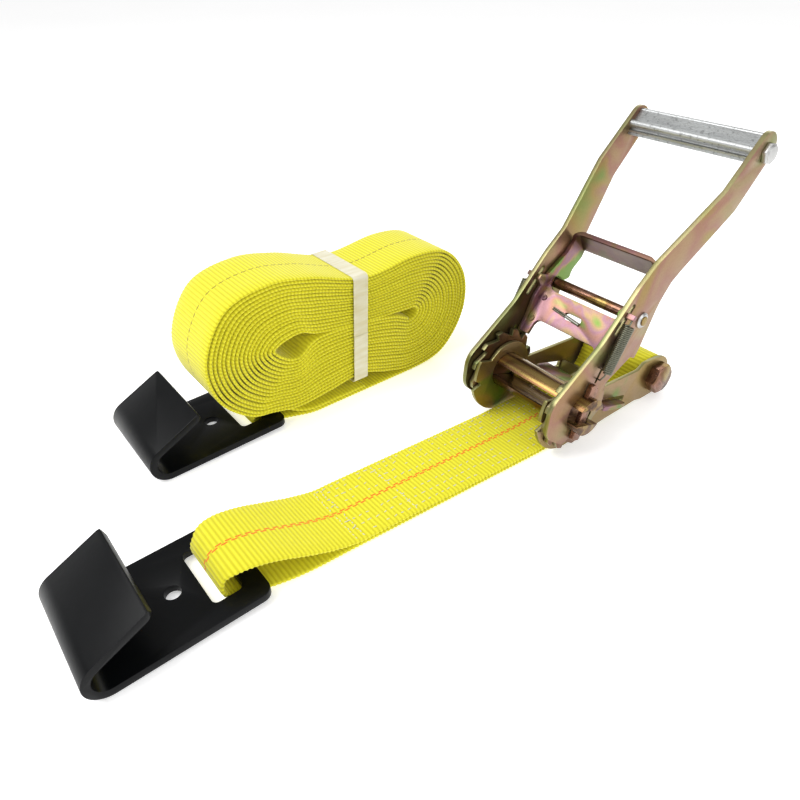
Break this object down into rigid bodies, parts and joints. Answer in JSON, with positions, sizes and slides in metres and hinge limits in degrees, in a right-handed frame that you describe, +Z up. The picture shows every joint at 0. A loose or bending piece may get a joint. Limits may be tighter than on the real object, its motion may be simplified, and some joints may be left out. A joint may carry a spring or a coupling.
{
  "type": "ratchet tie down",
  "caption": "Ratchet tie-down strap: wide-handle ratchet on a short webbing strap with a flat hook, and a long flat-hook strap wound up and banded beside it.",
  "frame": {"origin": "middle of the whole assembly's box, on the floor it lies on", "axes": "+X from the flat hooks toward the ratchet's rear bolt and grip, +Y from the ratchet toward the wound strap, +Z up"},
  "size_m": [0.435, 0.2112, 0.1748],
  "materials": {
    "zinc_steel": "satin",
    "zinc_pink": "satin",
    "zinc_handle": "satin",
    "bright_steel": "satin",
    "spring_steel": "satin",
    "grip_aluminium": "satin",
    "hook_paint": "gloss",
    "webbing": "matte",
    "band_film": "satin"
  },
  "bodies": {
    "ratchet_frame": {"frame_plate_left": "zinc_steel", "frame_plate_right": "zinc_steel", "rear_bolt": "zinc_pink", "rear_nut": "zinc_steel", "rear_sleeve": "bright_steel", "lock_spring_seat": "zinc_steel", "lock_spring": "bright_steel", "fixed_strap": "webbing"},
    "spindle": {"spindle_half_upper": "zinc_steel", "spindle_half_lower": "zinc_steel", "ratchet_wheel_left": "zinc_steel", "ratchet_wheel_right": "zinc_steel", "spindle_key_left": "zinc_pink", "spindle_key_right": "zinc_pink"},
    "handle": {"handle_arm_left": "zinc_handle", "handle_arm_right": "zinc_handle", "grip": "grip_aluminium", "grip_bolt": "bright_steel", "grip_nut": "bright_steel", "cross_rod": "zinc_pink", "rod_washers": "bright_steel", "pull_spring_left": "spring_steel", "pull_spring_right": "spring_steel"},
    "pull_pawl": {"pull_plate": "zinc_pink", "pull_plate_rivets": "bright_steel", "pull_wire_clip": "bright_steel"},
    "lock_pawl": {"lock_plate": "zinc_steel"},
    "hook_on_short_strap": {"front_hook": "hook_paint"},
    "long_strap": {"long_strap_tail": "webbing", "long_strap_coil": "webbing", "coil_band": "band_film", "long_hook": "hook_paint"}
  },
  "joints": [
    {"name": "spindle_turn", "type": "hinge", "parent": "ratchet_frame", "child": "spindle", "pos_m": [0.07776, -0.05607, 0.0295], "axis": [0, 1, 0], "continuous": true},
    {"name": "handle_swing", "type": "hinge", "parent": "ratchet_frame", "child": "handle", "pos_m": [0.07776, -0.05607, 0.0295], "axis": [0, 1, 0], "range_deg": [-128, 38]},
    {"name": "pull_plate_slide", "type": "slide", "parent": "handle", "child": "pull_pawl", "axis": [0.6756, 0, 0.7373], "range_m": [0, 0.005], "stiffness_N_per_m": 1500, "springref_m": -0.008, "deforming": ["pull_spring_left", "pull_spring_right"]},
    {"name": "lock_plate_slide", "type": "slide", "parent": "ratchet_frame", "child": "lock_pawl", "axis": [0.9563, 0, -0.2924], "range_m": [0, 0.005], "stiffness_N_per_m": 1500, "springref_m": -0.006, "deforming": ["lock_spring"]},
    {"name": "front_hook_tip", "type": "hinge", "parent": "ratchet_frame", "child": "hook_on_short_strap", "pos_m": [-0.12564, -0.04367, 0.00301], "axis": [0, 1, 0], "range_deg": [0, 30]},
    {"name": "long_strap_lift", "type": "slide", "parent": "ratchet_frame", "child": "long_strap", "axis": [0, 0, 1], "range_m": [0, 0.1]}
  ]
}
